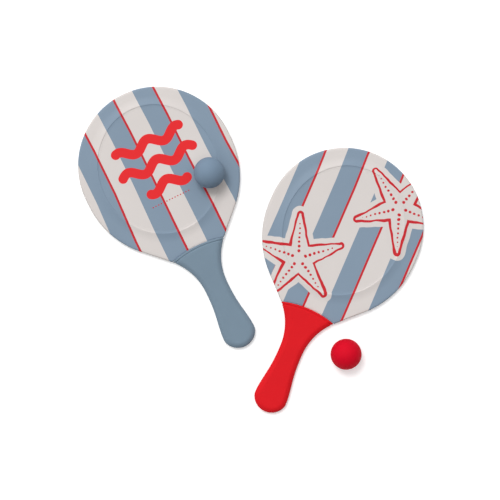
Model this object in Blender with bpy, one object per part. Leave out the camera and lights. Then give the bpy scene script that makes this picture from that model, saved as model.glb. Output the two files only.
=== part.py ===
"""A beach paddle ball set: two moulded bats with rubber grips, and two rubber balls.

Lengths are in metres. A bat is modelled lying flat, in the frame of its own empty: the centre of
its round head is at x = 0, y = 0, its handle runs along -Y and its underside is at z = 0. Both
bats are the same moulding. The empties lay them out as a set, one ball on a bat and one beside.
"""

import math

import bmesh
import bpy
import numpy as np
from mathutils import Matrix, Vector

# Plan of a bat: a round head, shoulders, a waisted handle and a round end
HEAD_RADIUS = 0.107
FLANK_LENGTH = 0.009
SHOULDER_RADIUS = 0.122
SHOULDER_TURN = math.radians(45.8)
WAIST_HALF_WIDTH = 0.0161
WAIST_DISTANCE = 0.183
HANDLE_HALF_WIDTH = 0.0226
HANDLE_FLARE_POWER = 1.35
HANDLE_END_LENGTH = 0.0192
HANDLE_CORNER_RADIUS = 0.012
TIP_DISTANCE = 0.2724

# Faces of the blade: a slightly sunken oval panel, a crest round it, a hollow cove and a thinner rim
PANEL_HALF_WIDTH = 0.081
PANEL_HALF_LENGTH = 0.0885
PANEL_OFFSET = 0.0052
PANEL_RECESS = 0.0005
PANEL_WALL = 0.0006
CREST_THICKNESS = 0.012
CREST_WIDTH = 0.0006
COVE_WIDTH = 0.0135
COVE_DEPTH = 0.0021
RIM_DEPTH = 0.0024
RIM_EDGE_RADIUS = 0.0025

# Grip: a rubber sleeve over the blade's tang, with a bead along its curved front edge
SEAM_DISTANCE = 0.121
SEAM_RADIUS = 0.130
GRIP_THICKNESS = CREST_THICKNESS
GRIP_EDGE_RADIUS = 0.0055
GRIP_WALL = 0.0035
BEAD_RADIUS = 0.0016
GROOVE_DEPTH = 0.0008
GROOVE_FALL = 0.0012
GROOVE_RISE = 0.0018
TANG_THICKNESS = 0.006
TANG_ROOT = 0.012

# Fits and balls
CLEARANCE = 0.0003
BALL_RADIUS = 0.021

# Layout of the set, from the centre of the blue bat's head
BLUE_BAT_TURN = math.radians(26.1)
RED_BAT_TURN = math.radians(-23.4)
RED_BAT_PLACE = (0.2542, -0.0829)
BLUE_BALL_PLACE = (0.0713, -0.0107)
RED_BALL_PLACE = (0.2555, -0.2550)

# Printed stripes, across the blade: white, then blue, then a thin red line on its right edge
STRIPE_PITCH = 0.0556
BLUE_STRIPE_WIDTH = 0.0250
RED_STRIPE_WIDTH = 0.0032
BLUE_BAT_LINE = -0.0131
RED_BAT_LINE = -0.0091

# How finely the round shapes are divided
ARC_STEPS = 24
HEAD_POINTS = 84
SEAM_POINTS = 12
ROUND_STEPS = 4
COVE_STEPS = 4
RIM_STEPS = 3
HANDLE_SLICES = 12
END_SLICE_TURNS = (55, 44, 34, 25, 17, 10, 5)
FACE_STEPS = 8
BALL_SEGMENTS = 32
BALL_RINGS = 16
SEARCH_STEPS = 48
WELD_DISTANCE = 1e-7
SHARP_EDGE = math.radians(35)

# Colours and roughness
WHITE = (0.716, 0.658, 0.645)
STRIPE_BLUE = (0.246, 0.319, 0.413)
STRIPE_RED = (0.560, 0.030, 0.040)
GRIP_BLUE = (0.202, 0.279, 0.342)
GRIP_RED = (0.730, 0.010, 0.020)
BALL_BLUE = (0.178, 0.258, 0.360)
BALL_RED = (0.680, 0.007, 0.022)
PLASTIC_ROUGHNESS = 0.42
GRIP_ROUGHNESS = 0.55
BALL_ROUGHNESS = 0.60

BAT_MIDDLE = CREST_THICKNESS / 2
SEAM_CENTRE_Y = -SEAM_DISTANCE - SEAM_RADIUS
BLADE_SEAM_RADIUS = SEAM_RADIUS + CLEARANCE


def clear_scene():
    """Remove every object, so that the file holds only this set."""
    for item in list(bpy.data.objects):
        bpy.data.objects.remove(item)


def arc(centre, radius, start, end):
    """Points on an arc, both ends included."""
    angles = [start + (end - start) * i / ARC_STEPS for i in range(ARC_STEPS + 1)]
    return [(centre[0] + radius * math.cos(a), centre[1] + radius * math.sin(a)) for a in angles]


def neck_radius():
    """Radius of the hollow arc that runs from the shoulder's straight line into the waist."""
    cos_turn, sin_turn = math.cos(SHOULDER_TURN), math.sin(SHOULDER_TURN)
    line_x = HEAD_RADIUS - SHOULDER_RADIUS + SHOULDER_RADIUS * cos_turn
    line_y = -FLANK_LENGTH - SHOULDER_RADIUS * sin_turn
    reach = cos_turn * (WAIST_HALF_WIDTH - line_x) + sin_turn * (WAIST_DISTANCE + line_y)
    return reach / (1 - cos_turn)


def handle_end_radius():
    """Radius of the arc round the tip, tangent to the two corner arcs beside it."""
    side = HANDLE_HALF_WIDTH - HANDLE_CORNER_RADIUS
    rise = side**2 + HANDLE_END_LENGTH**2 - HANDLE_CORNER_RADIUS**2
    return rise / (2 * (HANDLE_END_LENGTH - HANDLE_CORNER_RADIUS))


def side_outline(inset):
    """Right-hand edge of a bat, from the far side of the head to the tip, drawn in by inset."""
    quarter = math.pi / 2
    points = arc((0, 0), HEAD_RADIUS - inset, quarter, 0)
    shoulder = (HEAD_RADIUS - SHOULDER_RADIUS, -FLANK_LENGTH)
    points += arc(shoulder, SHOULDER_RADIUS - inset, 0, -SHOULDER_TURN)
    neck = neck_radius()
    neck_centre = (WAIST_HALF_WIDTH + neck, -WAIST_DISTANCE)
    points += arc(neck_centre, neck + inset, math.pi - SHOULDER_TURN, math.pi)

    widest_y = HANDLE_END_LENGTH - TIP_DISTANCE
    for i in range(1, ARC_STEPS):
        share = i / ARC_STEPS
        ease = (1 - math.cos(math.pi * share**HANDLE_FLARE_POWER)) / 2
        x = WAIST_HALF_WIDTH + (HANDLE_HALF_WIDTH - WAIST_HALF_WIDTH) * ease - inset
        points.append((x, -WAIST_DISTANCE + (widest_y + WAIST_DISTANCE) * share))

    end_radius = handle_end_radius()
    corner = (HANDLE_HALF_WIDTH - HANDLE_CORNER_RADIUS, widest_y)
    end_centre = (0, end_radius - TIP_DISTANCE)
    meeting = math.atan2(corner[1] - end_centre[1], corner[0])
    points += arc(corner, HANDLE_CORNER_RADIUS - inset, 0, meeting)
    points += arc(end_centre, end_radius - inset, meeting, -quarter)
    return points


def half_width_table(inset):
    """The side outline as two rising columns, distance towards the tip and half width there."""
    outline = np.array(side_outline(inset))
    return -outline[:, 1], outline[:, 0]


def half_width(table, y):
    return float(np.interp(-y, table[0], table[1], left=0.0, right=0.0))


def beyond_seam(x, y):
    """True on the blade's side of the curved seam between the blade and the grip."""
    return math.hypot(x, y - SEAM_CENTRE_Y) > BLADE_SEAM_RADIUS


def bisect(test, low, high):
    """Value between low, where test holds, and high, where it doesn't, at which it changes."""
    for _ in range(SEARCH_STEPS):
        middle = (low + high) / 2
        if test(middle):
            low = middle
        else:
            high = middle
    return low


def blade_reach(table, angle):
    """How far the blade runs from the panel's centre in one direction."""
    across, along = math.cos(angle), math.sin(angle)

    def inside(distance):
        x, y = distance * across, distance * along - PANEL_OFFSET
        return abs(x) < half_width(table, y) and beyond_seam(x, y)

    return bisect(inside, 0.0, TIP_DISTANCE)


def blade_corner_angle():
    """Direction from the panel's centre to the corner where the side meets the seam."""
    table = half_width_table(0.0)

    def on_blade(distance):
        return beyond_seam(half_width(table, -distance), -distance)

    y = -bisect(on_blade, FLANK_LENGTH, WAIST_DISTANCE)
    return math.atan2(y + PANEL_OFFSET, half_width(table, y))


def blade_angles():
    """Directions of the blade's spokes: over the head from corner to corner, then the seam."""
    corner = blade_corner_angle()
    over_head = math.pi - 2 * corner
    under = 2 * math.pi - over_head
    head = [corner + over_head * i / HEAD_POINTS for i in range(HEAD_POINTS)]
    seam = [corner + over_head + under * i / SEAM_POINTS for i in range(SEAM_POINTS)]
    return head + seam


def panel_reach(angle):
    """How far the oval panel runs from its centre in one direction."""
    return 1 / math.hypot(math.cos(angle) / PANEL_HALF_WIDTH, math.sin(angle) / PANEL_HALF_LENGTH)


def face_profile():
    """From the panel over the crest into the cove: distance past the panel, depth below the crest."""
    steps = [(-PANEL_WALL, PANEL_RECESS), (0.0, 0.0), (CREST_WIDTH, 0.0)]
    for i in range(1, COVE_STEPS + 1):
        share = i / COVE_STEPS
        steps.append((CREST_WIDTH + COVE_WIDTH * share, COVE_DEPTH * (1 - (1 - share) ** 2)))
    return steps


def blade_rings():
    """Rings of points from the middle of the upper face over the rim to the lower face."""
    angles = blade_angles()
    half = CREST_THICKNESS / 2
    upper = []

    def ring(reaches, height):
        spokes = zip(reaches, angles)
        upper.append([(r * math.cos(a), r * math.sin(a) - PANEL_OFFSET, height) for r, a in spokes])

    for run, depth in face_profile():
        ring([panel_reach(a) + run for a in angles], half - depth)
    for i in range(RIM_STEPS + 1):
        turn = math.pi / 2 * i / RIM_STEPS
        table = half_width_table(RIM_EDGE_RADIUS * (1 - math.sin(turn)))
        height = half - RIM_DEPTH - RIM_EDGE_RADIUS * (1 - math.cos(turn))
        ring([blade_reach(table, a) for a in angles], height)
    lower = [[(x, y, -z) for x, y, z in ring] for ring in reversed(upper)]
    return upper + lower


def tang_outline(inset, start_y):
    """Closed outline of a tang, or of its socket, from start_y to near the tip of the handle."""
    table = half_width_table(inset)
    right = [(half_width(table, start_y), start_y)]
    right += [(x, y) for x, y in side_outline(inset) if y < start_y]
    left = [(-x, y) for x, y in reversed(right) if x > WELD_DISTANCE]
    return right + left


def slice_shape(table, middle_y):
    """Half width of the cross slice whose middle is at middle_y, and how far it still curves.

    At the seam a slice follows the seam's arc, and it is straight from the waist onwards.
    """
    share = (-middle_y - SEAM_DISTANCE) / (WAIST_DISTANCE - SEAM_DISTANCE)
    share = min(1.0, max(0.0, share))
    curve = 1 - share * share * (3 - 2 * share)

    def inside(x):
        return x < half_width(table, middle_y - curve * seam_sag(x))

    return bisect(inside, 0.0, HEAD_RADIUS), curve


def seam_sag(x):
    """How far the seam's arc has fallen back towards the tip at x."""
    return SEAM_RADIUS - math.sqrt(max(0.0, SEAM_RADIUS**2 - x * x))


def bead_drop(distance):
    """How far the grip's skin lies below its full size, at a distance behind the seam."""
    if distance < BEAD_RADIUS:
        return BEAD_RADIUS - math.sqrt(BEAD_RADIUS**2 - (BEAD_RADIUS - distance) ** 2)
    past_bead = distance - BEAD_RADIUS
    if past_bead < GROOVE_FALL:
        return GROOVE_DEPTH * (1 - math.cos(math.pi * past_bead / GROOVE_FALL)) / 2
    past_groove = past_bead - GROOVE_FALL
    if past_groove < GROOVE_RISE:
        return GROOVE_DEPTH * (1 + math.cos(math.pi * past_groove / GROOVE_RISE)) / 2
    return 0.0


def end_half_thickness(distance):
    """Half thickness of the grip at a distance short of its tip."""
    full = GRIP_THICKNESS / 2
    radius = min(GRIP_EDGE_RADIUS, full)
    if distance >= radius:
        return full
    return full - radius + math.sqrt(radius**2 - (radius - distance) ** 2)


def grip_stations():
    """Distances behind the seam at which the grip is sliced, close together where it curves."""
    length = TIP_DISTANCE - SEAM_DISTANCE
    bead = [BEAD_RADIUS * (1 - math.cos(math.pi / 2 * i / ROUND_STEPS)) for i in range(ROUND_STEPS + 1)]
    groove = [BEAD_RADIUS + GROOVE_FALL * i / 2 for i in (1, 2)]
    rise_start = BEAD_RADIUS + GROOVE_FALL
    groove += [rise_start + GROOVE_RISE * i / ROUND_STEPS for i in range(1, ROUND_STEPS + 1)]
    end_radius = handle_end_radius()
    end = [length - end_radius * (1 - math.cos(math.radians(a))) for a in END_SLICE_TURNS]
    start = groove[-1]
    shaft = [start + (end[0] - start) * i / HANDLE_SLICES for i in range(1, HANDLE_SLICES)]
    return bead + groove + shaft + end


def rounded_section(half_wide, half_thick):
    """Cross-section of the grip as (x, z) points: flat faces with round edges."""
    radius = min(GRIP_EDGE_RADIUS, half_thick, half_wide)
    flat_x, flat_z = half_wide - radius, half_thick - radius
    upper = []
    for i in range(ROUND_STEPS + 1):
        angle = math.pi / 2 * i / ROUND_STEPS
        upper.append((flat_x + radius * math.cos(angle), flat_z + radius * math.sin(angle)))
    upper += [(flat_x * (1 - 2 * i / FACE_STEPS), half_thick) for i in range(1, FACE_STEPS)]
    for i in range(ROUND_STEPS + 1):
        angle = math.pi / 2 * (1 + i / ROUND_STEPS)
        upper.append((-flat_x + radius * math.cos(angle), flat_z + radius * math.sin(angle)))
    lower = [(x, -z) for x, z in reversed(upper)]
    return upper + lower


def grip_rings():
    """Slices of the grip from its bead to its tip."""
    length = TIP_DISTANCE - SEAM_DISTANCE
    table = half_width_table(0.0)
    rings = []
    for distance in grip_stations():
        middle_y = -SEAM_DISTANCE - distance
        wide, curve = slice_shape(table, middle_y)
        drop = bead_drop(distance)
        thick = end_half_thickness(length - distance) - drop
        section = rounded_section(wide - drop, thick)
        rings.append([(x, middle_y - curve * seam_sag(x), z) for x, z in section])
    return rings


def join_rings(mesh, rings, cap_faces):
    """Skin consecutive rings with quads and close both ends."""
    loops = [[mesh.verts.new(point) for point in ring] for ring in rings]
    count = len(loops[0])
    for here, there in zip(loops, loops[1:]):
        for i in range(count):
            j = (i + 1) % count
            mesh.faces.new((here[i], here[j], there[j], there[i]))
    cap_faces(mesh, loops[0])
    cap_faces(mesh, loops[-1])


def flat_cap(mesh, loop):
    mesh.faces.new(loop)


def strip_cap(mesh, loop):
    """Close a curved slice with upright strips, from its upper points to the ones below them."""
    count = len(loop)
    for i in range(count // 2 - 1):
        below, below_next = count - 1 - i, count - 2 - i
        mesh.faces.new((loop[i], loop[i + 1], loop[below_next], loop[below]))


def finish_mesh(mesh, name, sharp_angle):
    """Turn a bmesh into mesh data with outward faces, smooth but for its real edges."""
    bmesh.ops.remove_doubles(mesh, verts=mesh.verts, dist=WELD_DISTANCE)
    bmesh.ops.recalc_face_normals(mesh, faces=mesh.faces)
    data = bpy.data.meshes.new(name)
    mesh.to_mesh(data)
    mesh.free()
    data.shade_smooth()
    data.set_sharp_from_angle(angle=sharp_angle)
    return data


def ring_solid(name, rings, cap_faces):
    mesh = bmesh.new()
    join_rings(mesh, rings, cap_faces)
    return finish_mesh(mesh, name, SHARP_EDGE)


def plate_solid(name, outline, thickness):
    """A flat plate of the given outline, centred on z = 0."""
    mesh = bmesh.new()
    low = [mesh.verts.new((x, y, -thickness / 2)) for x, y in outline]
    high = [mesh.verts.new((x, y, thickness / 2)) for x, y in outline]
    mesh.faces.new(low)
    mesh.faces.new(high)
    count = len(outline)
    for i in range(count):
        j = (i + 1) % count
        mesh.faces.new((low[i], low[j], high[j], high[i]))
    return finish_mesh(mesh, name, SHARP_EDGE)


def plain_material(name, colour, roughness):
    material = bpy.data.materials.new(name)
    material.use_nodes = True
    shader = material.node_tree.nodes["Principled BSDF"]
    shader.inputs["Base Color"].default_value = (*colour, 1.0)
    shader.inputs["Roughness"].default_value = roughness
    shader.inputs["Metallic"].default_value = 0.0
    return material


def striped_material(name, line_x):
    """White plastic with printed stripes. A red line is centred at line_x and at every pitch from it."""
    material = plain_material(name, WHITE, PLASTIC_ROUGHNESS)
    tree = material.node_tree
    place = tree.nodes.new("ShaderNodeTexCoord")
    split = tree.nodes.new("ShaderNodeSeparateXYZ")
    shift = tree.nodes.new("ShaderNodeMath")
    shift.operation = "SUBTRACT"
    shift.inputs[1].default_value = line_x + RED_STRIPE_WIDTH / 2
    repeat = tree.nodes.new("ShaderNodeMath")
    repeat.operation = "FLOORED_MODULO"
    repeat.inputs[1].default_value = STRIPE_PITCH
    share = tree.nodes.new("ShaderNodeMath")
    share.operation = "DIVIDE"
    share.inputs[1].default_value = STRIPE_PITCH
    bands = tree.nodes.new("ShaderNodeValToRGB")
    bands.color_ramp.interpolation = "CONSTANT"
    bands.color_ramp.elements[0].color = (*WHITE, 1.0)
    bands.color_ramp.elements[1].position = 1 - RED_STRIPE_WIDTH / STRIPE_PITCH
    bands.color_ramp.elements[1].color = (*STRIPE_RED, 1.0)
    blue_start = 1 - (RED_STRIPE_WIDTH + BLUE_STRIPE_WIDTH) / STRIPE_PITCH
    bands.color_ramp.elements.new(blue_start).color = (*STRIPE_BLUE, 1.0)
    shader = tree.nodes["Principled BSDF"]
    tree.links.new(place.outputs["Object"], split.inputs["Vector"])
    tree.links.new(split.outputs["X"], shift.inputs[0])
    tree.links.new(shift.outputs["Value"], repeat.inputs[0])
    tree.links.new(repeat.outputs["Value"], share.inputs[0])
    tree.links.new(share.outputs["Value"], bands.inputs["Fac"])
    tree.links.new(bands.outputs["Color"], shader.inputs["Base Color"])
    return material


def add_object(name, data, parent, material=None):
    item = bpy.data.objects.new(name, data)
    bpy.context.scene.collection.objects.link(item)
    item.parent = parent
    if material:
        data.materials.append(material)
    return item


def add_boolean(item, operation, other):
    """Cut or join with a guide solid, which itself stays out of sight."""
    other.hide_render = True
    other.display_type = "WIRE"
    modifier = item.modifiers.new(operation.lower(), "BOOLEAN")
    modifier.operation = operation
    modifier.solver = "EXACT"
    modifier.object = other


def add_blade(name, bat, material):
    """The printed blade, one moulding with the tang that runs inside the grip."""
    blade = add_object(name, ring_solid(name, blade_rings(), flat_cap), bat, material)
    blade.location.z = BAT_MIDDLE
    outline = tang_outline(GRIP_WALL, TANG_ROOT - SEAM_DISTANCE)
    tang = add_object(name + "_tang_guide", plate_solid(name + "_tang", outline, TANG_THICKNESS), bat)
    tang.location.z = BAT_MIDDLE
    add_boolean(blade, "UNION", tang)
    return blade


def add_grip(name, bat, material):
    """The rubber sleeve, with a socket that follows the tang all round at a small clearance."""
    rings = grip_rings()
    grip = add_object(name, ring_solid(name, rings, strip_cap), bat, material)
    grip.location.z = BAT_MIDDLE
    outline = tang_outline(GRIP_WALL - CLEARANCE, TANG_ROOT - SEAM_DISTANCE)
    socket_height = TANG_THICKNESS + 2 * CLEARANCE
    socket = add_object(name + "_socket_guide", plate_solid(name + "_socket", outline, socket_height), bat)
    socket.location.z = BAT_MIDDLE
    add_boolean(grip, "DIFFERENCE", socket)
    return grip


def add_ball(name, place, lowest_z, parent, material):
    mesh = bmesh.new()
    bmesh.ops.create_uvsphere(
        mesh, u_segments=BALL_SEGMENTS, v_segments=BALL_RINGS, radius=BALL_RADIUS
    )
    ball = add_object(name, finish_mesh(mesh, name, math.pi), parent, material)
    ball.location = (*place, lowest_z + BALL_RADIUS)
    return ball


def add_bat(prefix, layout, place, turn, line_x, grip_material):
    """One bat on its own empty, which is laid on the ground and turned about Z."""
    bat = add_object(prefix + "_bat_place", None, layout)
    bat.location = (*place, 0.0)
    bat.rotation_euler = (0.0, 0.0, turn)
    print_material = striped_material(prefix + "_bat_print", line_x)
    blade = add_blade(prefix + "_bat_blade", bat, print_material)
    grip = add_grip(prefix + "_bat_grip", bat, grip_material)
    return [blade, grip]


def centre_on_origin(layout, items):
    """Shift the layout so that the middle of the set's footprint is at the origin."""
    bpy.context.view_layer.update()
    low, high = Vector((math.inf,) * 3), Vector((-math.inf,) * 3)
    for item in items:
        for vertex in item.data.vertices:
            corner = item.matrix_world @ vertex.co
            low = Vector(map(min, low, corner))
            high = Vector(map(max, high, corner))
    middle = (low + high) / 2
    layout.matrix_world = Matrix.Translation((-middle.x, -middle.y, 0.0)) @ layout.matrix_world


def main():
    clear_scene()
    layout = add_object("set_place", None, None)
    blue_rubber = plain_material("blue_grip_rubber", GRIP_BLUE, GRIP_ROUGHNESS)
    red_rubber = plain_material("red_grip_rubber", GRIP_RED, GRIP_ROUGHNESS)
    blue_ball_rubber = plain_material("blue_ball_rubber", BALL_BLUE, BALL_ROUGHNESS)
    red_ball_rubber = plain_material("red_ball_rubber", BALL_RED, BALL_ROUGHNESS)

    items = add_bat("blue", layout, (0.0, 0.0), BLUE_BAT_TURN, BLUE_BAT_LINE, blue_rubber)
    items += add_bat("red", layout, RED_BAT_PLACE, RED_BAT_TURN, RED_BAT_LINE, red_rubber)
    panel_top = CREST_THICKNESS - PANEL_RECESS + CLEARANCE
    items.append(add_ball("blue_ball", BLUE_BALL_PLACE, panel_top, layout, blue_ball_rubber))
    items.append(add_ball("red_ball", RED_BALL_PLACE, 0.0, layout, red_ball_rubber))
    centre_on_origin(layout, items)


main()
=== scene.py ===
# %% [markdown]
# # A beach paddle ball set, seen from above
#
# This lesson dresses a finished CAD model: two moulded bats with rubber grips, and two rubber
# balls. The CAD solids already have the right sizes and places, so nothing here moves them. Each
# solid is faceted, though, and plain. We build a smoother piece over each one from the same
# outline, print its stripes and figures with shader arithmetic, and light the set softly from
# above, as a catalogue photograph does.
#
# We start by loading the CAD model. Its box is kept, because the dressed set has to fill the same
# box.

# %% Load the frame
import math

import bmesh
import bpy
import numpy as np
from mathutils import Matrix, Vector


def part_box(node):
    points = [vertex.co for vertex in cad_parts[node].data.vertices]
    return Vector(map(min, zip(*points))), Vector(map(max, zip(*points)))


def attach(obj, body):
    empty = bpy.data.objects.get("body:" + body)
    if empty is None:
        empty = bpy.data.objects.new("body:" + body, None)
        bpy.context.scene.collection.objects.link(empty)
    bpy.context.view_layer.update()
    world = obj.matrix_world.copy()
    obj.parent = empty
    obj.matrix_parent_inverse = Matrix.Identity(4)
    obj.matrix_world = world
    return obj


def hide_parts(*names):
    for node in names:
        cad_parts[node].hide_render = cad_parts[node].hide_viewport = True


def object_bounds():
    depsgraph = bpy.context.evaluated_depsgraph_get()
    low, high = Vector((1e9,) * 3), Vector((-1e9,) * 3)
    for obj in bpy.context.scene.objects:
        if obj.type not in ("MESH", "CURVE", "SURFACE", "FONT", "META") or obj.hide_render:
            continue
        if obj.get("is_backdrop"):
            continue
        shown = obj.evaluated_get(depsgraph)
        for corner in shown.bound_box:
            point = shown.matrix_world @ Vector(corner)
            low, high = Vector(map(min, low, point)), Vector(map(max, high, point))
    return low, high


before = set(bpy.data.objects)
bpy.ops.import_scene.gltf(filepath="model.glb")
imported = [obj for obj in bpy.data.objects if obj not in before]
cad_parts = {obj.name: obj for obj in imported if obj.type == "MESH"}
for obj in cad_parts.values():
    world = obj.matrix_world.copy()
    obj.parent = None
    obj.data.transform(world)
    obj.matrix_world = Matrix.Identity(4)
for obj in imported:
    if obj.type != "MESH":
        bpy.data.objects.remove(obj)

cad_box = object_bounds()


def mm(metres, digits=1):
    """A length in rounded millimetres, for printing."""
    return round(1000 * float(metres), digits)


print("CAD box in mm:", [[mm(v) for v in corner] for corner in cad_box])

# %% [markdown]
# ## The plan of a bat
#
# Both bats come from one mould. Seen from above the edge is a chain of simple stretches: half a
# circle for the head, a short flank, a wide arc for each shoulder, a straight run, a hollow arc
# into the waist of the handle, a slow flare and small arcs round the tip. We could trace the
# photograph with a spline, but a real mould is drawn with arcs, and arcs stay smooth however finely
# we cut them. So we write the few sizes that a drawing of the mould would carry.
#
# Each bat is drawn in its own frame: the centre of the head is at (0, 0), the handle runs along -Y
# and z = 0 is the middle of the thickness.

# %% Sizes of the mould, in metres
HEAD_RADIUS = 0.107
FLANK_LENGTH = 0.009
SHOULDER_RADIUS = 0.122
SHOULDER_TURN = math.radians(45.8)
WAIST_HALF_WIDTH = 0.0161
WAIST_DISTANCE = 0.183
HANDLE_HALF_WIDTH = 0.0226
HANDLE_FLARE_POWER = 1.35
HANDLE_END_LENGTH = 0.0192
HANDLE_CORNER_RADIUS = 0.012
TIP_DISTANCE = 0.2724

print("one bat:", mm(2 * HEAD_RADIUS), "mm wide,", mm(HEAD_RADIUS + TIP_DISTANCE), "mm long")

# %% [markdown]
# Two radii aren't free. The hollow arc has to leave the straight run and reach the waist without a
# kink, and the arc round the tip has to meet the small corner arcs beside it in the same way. Both
# follow from the sizes above, so we work them out.

# %% Radii that follow from the sizes


def neck_radius():
    """Radius of the hollow arc between the shoulder's straight run and the waist."""
    cos_turn, sin_turn = math.cos(SHOULDER_TURN), math.sin(SHOULDER_TURN)
    line_x = HEAD_RADIUS - SHOULDER_RADIUS + SHOULDER_RADIUS * cos_turn
    line_y = -FLANK_LENGTH - SHOULDER_RADIUS * sin_turn
    reach = cos_turn * (WAIST_HALF_WIDTH - line_x) + sin_turn * (WAIST_DISTANCE + line_y)
    return reach / (1 - cos_turn)


def handle_end_radius():
    """Radius of the arc round the tip, tangent to the corner arcs beside it."""
    side = HANDLE_HALF_WIDTH - HANDLE_CORNER_RADIUS
    rise = side**2 + HANDLE_END_LENGTH**2 - HANDLE_CORNER_RADIUS**2
    return rise / (2 * (HANDLE_END_LENGTH - HANDLE_CORNER_RADIUS))


print("neck radius", mm(neck_radius()), "mm; end radius", mm(handle_end_radius()), "mm")

# %% [markdown]
# Now we string the stretches together. The whole chain can be drawn in by an inset, since each arc
# only needs another radius. That is worth having: the round rim, the tang and the socket in the
# grip all come from this one outline, drawn in by different amounts.

# %% The edge of a bat
QUARTER = math.pi / 2
FLARE_STEPS = 65


def arc(centre, radius, start, end, steps=64):
    """Points on an arc, both ends included."""
    angles = np.linspace(start, end, steps + 1)
    x = centre[0] + radius * np.cos(angles)
    y = centre[1] + radius * np.sin(angles)
    return np.stack([x, y], axis=1)


def side_outline(inset=0.0):
    """Right-hand edge from the far side of the head to the tip, drawn in by inset."""
    head = arc((0, 0), HEAD_RADIUS - inset, QUARTER, 0)
    shoulder_centre = (HEAD_RADIUS - SHOULDER_RADIUS, -FLANK_LENGTH)
    shoulder = arc(shoulder_centre, SHOULDER_RADIUS - inset, 0, -SHOULDER_TURN)
    neck = neck_radius()
    neck_centre = (WAIST_HALF_WIDTH + neck, -WAIST_DISTANCE)
    hollow = arc(neck_centre, neck + inset, math.pi - SHOULDER_TURN, math.pi)

    widest_y = HANDLE_END_LENGTH - TIP_DISTANCE
    share = np.linspace(0, 1, FLARE_STEPS + 1)[1:-1]
    ease = (1 - np.cos(math.pi * share**HANDLE_FLARE_POWER)) / 2
    flare_x = WAIST_HALF_WIDTH + (HANDLE_HALF_WIDTH - WAIST_HALF_WIDTH) * ease - inset
    flare_y = -WAIST_DISTANCE + (widest_y + WAIST_DISTANCE) * share
    flare = np.stack([flare_x, flare_y], axis=1)

    end_radius = handle_end_radius()
    corner_centre = (HANDLE_HALF_WIDTH - HANDLE_CORNER_RADIUS, widest_y)
    end_centre = (0, end_radius - TIP_DISTANCE)
    meeting = math.atan2(corner_centre[1] - end_centre[1], corner_centre[0])
    corner = arc(corner_centre, HANDLE_CORNER_RADIUS - inset, 0, meeting)
    end = arc(end_centre, end_radius - inset, meeting, -QUARTER)
    return np.concatenate([head, shoulder, hollow, flare, corner, end])


def half_width(y, inset=0.0):
    """Half the bat's width at y, for one value or a whole array."""
    outline = side_outline(inset)
    return np.interp(-np.asarray(y), -outline[:, 1], outline[:, 0], left=0.0, right=0.0)


print("edge points on one side:", len(side_outline()))

# %% [markdown]
# ## Skinning rings
#
# A blade, a grip and a ball can all be skinned the same way: lay closed rings of points one after
# another, join neighbouring rings with quads, and close the two ends. Lofting like this keeps the
# faces even and puts an edge loop wherever we want a crisp line, which a remesh or a sculpt would
# blur. Real edges are marked sharp by angle, and everything else shades smoothly.

# %% A skin over rings of points
SHARP_ANGLE = math.radians(40)
WELD_DISTANCE = 1e-6
SLIVER_LENGTH = 1e-7


def clean_mesh(data, sharp_angle=SHARP_ANGLE):
    """Weld double points, turn the faces outward and shade them."""
    mesh = bmesh.new()
    mesh.from_mesh(data)
    bmesh.ops.remove_doubles(mesh, verts=mesh.verts, dist=WELD_DISTANCE)
    bmesh.ops.dissolve_degenerate(mesh, edges=mesh.edges, dist=SLIVER_LENGTH)
    bmesh.ops.recalc_face_normals(mesh, faces=mesh.faces)
    mesh.to_mesh(data)
    mesh.free()
    data.shade_smooth()
    data.set_sharp_from_angle(angle=sharp_angle)
    return data


def skin_rings(name, rings, cap_by_strips=False, sharp_angle=SHARP_ANGLE):
    """Closed mesh over rings, each an array of the same number of (x, y, z) points."""
    rings = np.asarray(rings, float)
    ring_count, around = rings.shape[:2]
    faces = []
    for r in range(ring_count - 1):
        here, there = r * around, (r + 1) * around
        for i in range(around):
            j = (i + 1) % around
            faces.append((here + i, here + j, there + j, there + i))
    for start in (0, (ring_count - 1) * around):
        last = start + around - 1
        if cap_by_strips:
            for i in range(around // 2 - 1):
                faces.append((start + i, start + i + 1, last - 1 - i, last - i))
        else:
            faces.append(tuple(range(start, last + 1)))
    data = bpy.data.meshes.new(name)
    data.from_pydata(rings.reshape(-1, 3).tolist(), [], faces)
    return clean_mesh(data, sharp_angle)


print("edges turn sharp past", round(math.degrees(SHARP_ANGLE)), "degrees")

# %% [markdown]
# A mesh shows up once an object holds it. Where two closed meshes have to become one, a boolean
# modifier works out where their faces cross. Its EXACT solver is slower than the fast one, but it
# copes with faces that nearly touch.

# %% Pieces, and meshes joined


def new_piece(name, data):
    """An object in the scene that holds the mesh."""
    piece = bpy.data.objects.new(name, data)
    bpy.context.scene.collection.objects.link(piece)
    return piece


def joined(name, first, second, operation):
    """The EXACT union or difference of two closed meshes, as a new mesh."""
    one, two = new_piece("one", first), new_piece("two", second)
    modifier = one.modifiers.new("join", "BOOLEAN")
    modifier.operation = operation
    modifier.solver = "EXACT"
    modifier.object = two
    graph = bpy.context.evaluated_depsgraph_get()
    data = bpy.data.meshes.new_from_object(one.evaluated_get(graph))
    data.name = name
    bpy.data.objects.remove(one)
    bpy.data.objects.remove(two)
    return clean_mesh(data)


# %% [markdown]
# ## The blade
#
# The blade is one plastic moulding. Its middle is a flat oval panel, sunk by half a millimetre. A
# low crest runs round the panel. Outside the crest the face falls through a shallow cove, runs out
# to a thinner rim and turns over the rim's round edge. Seen from above, the wall of the panel draws
# a fine line and the cove a soft band beside it, one light where the other is dark, so their slopes
# decide how the face catches the light.
#
# A square grid of faces would cut across all these lines. We lay spokes from the centre of the
# panel to the edge instead, and give every spoke the same profile. Near the grip the spokes end on
# a curved seam, so we draw that first.

# %% The seam between blade and grip
SEAM_DISTANCE = 0.121
SEAM_RADIUS = 0.130
SEAM_CENTRE_Y = -SEAM_DISTANCE - SEAM_RADIUS
CLEARANCE = 0.0003


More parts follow.
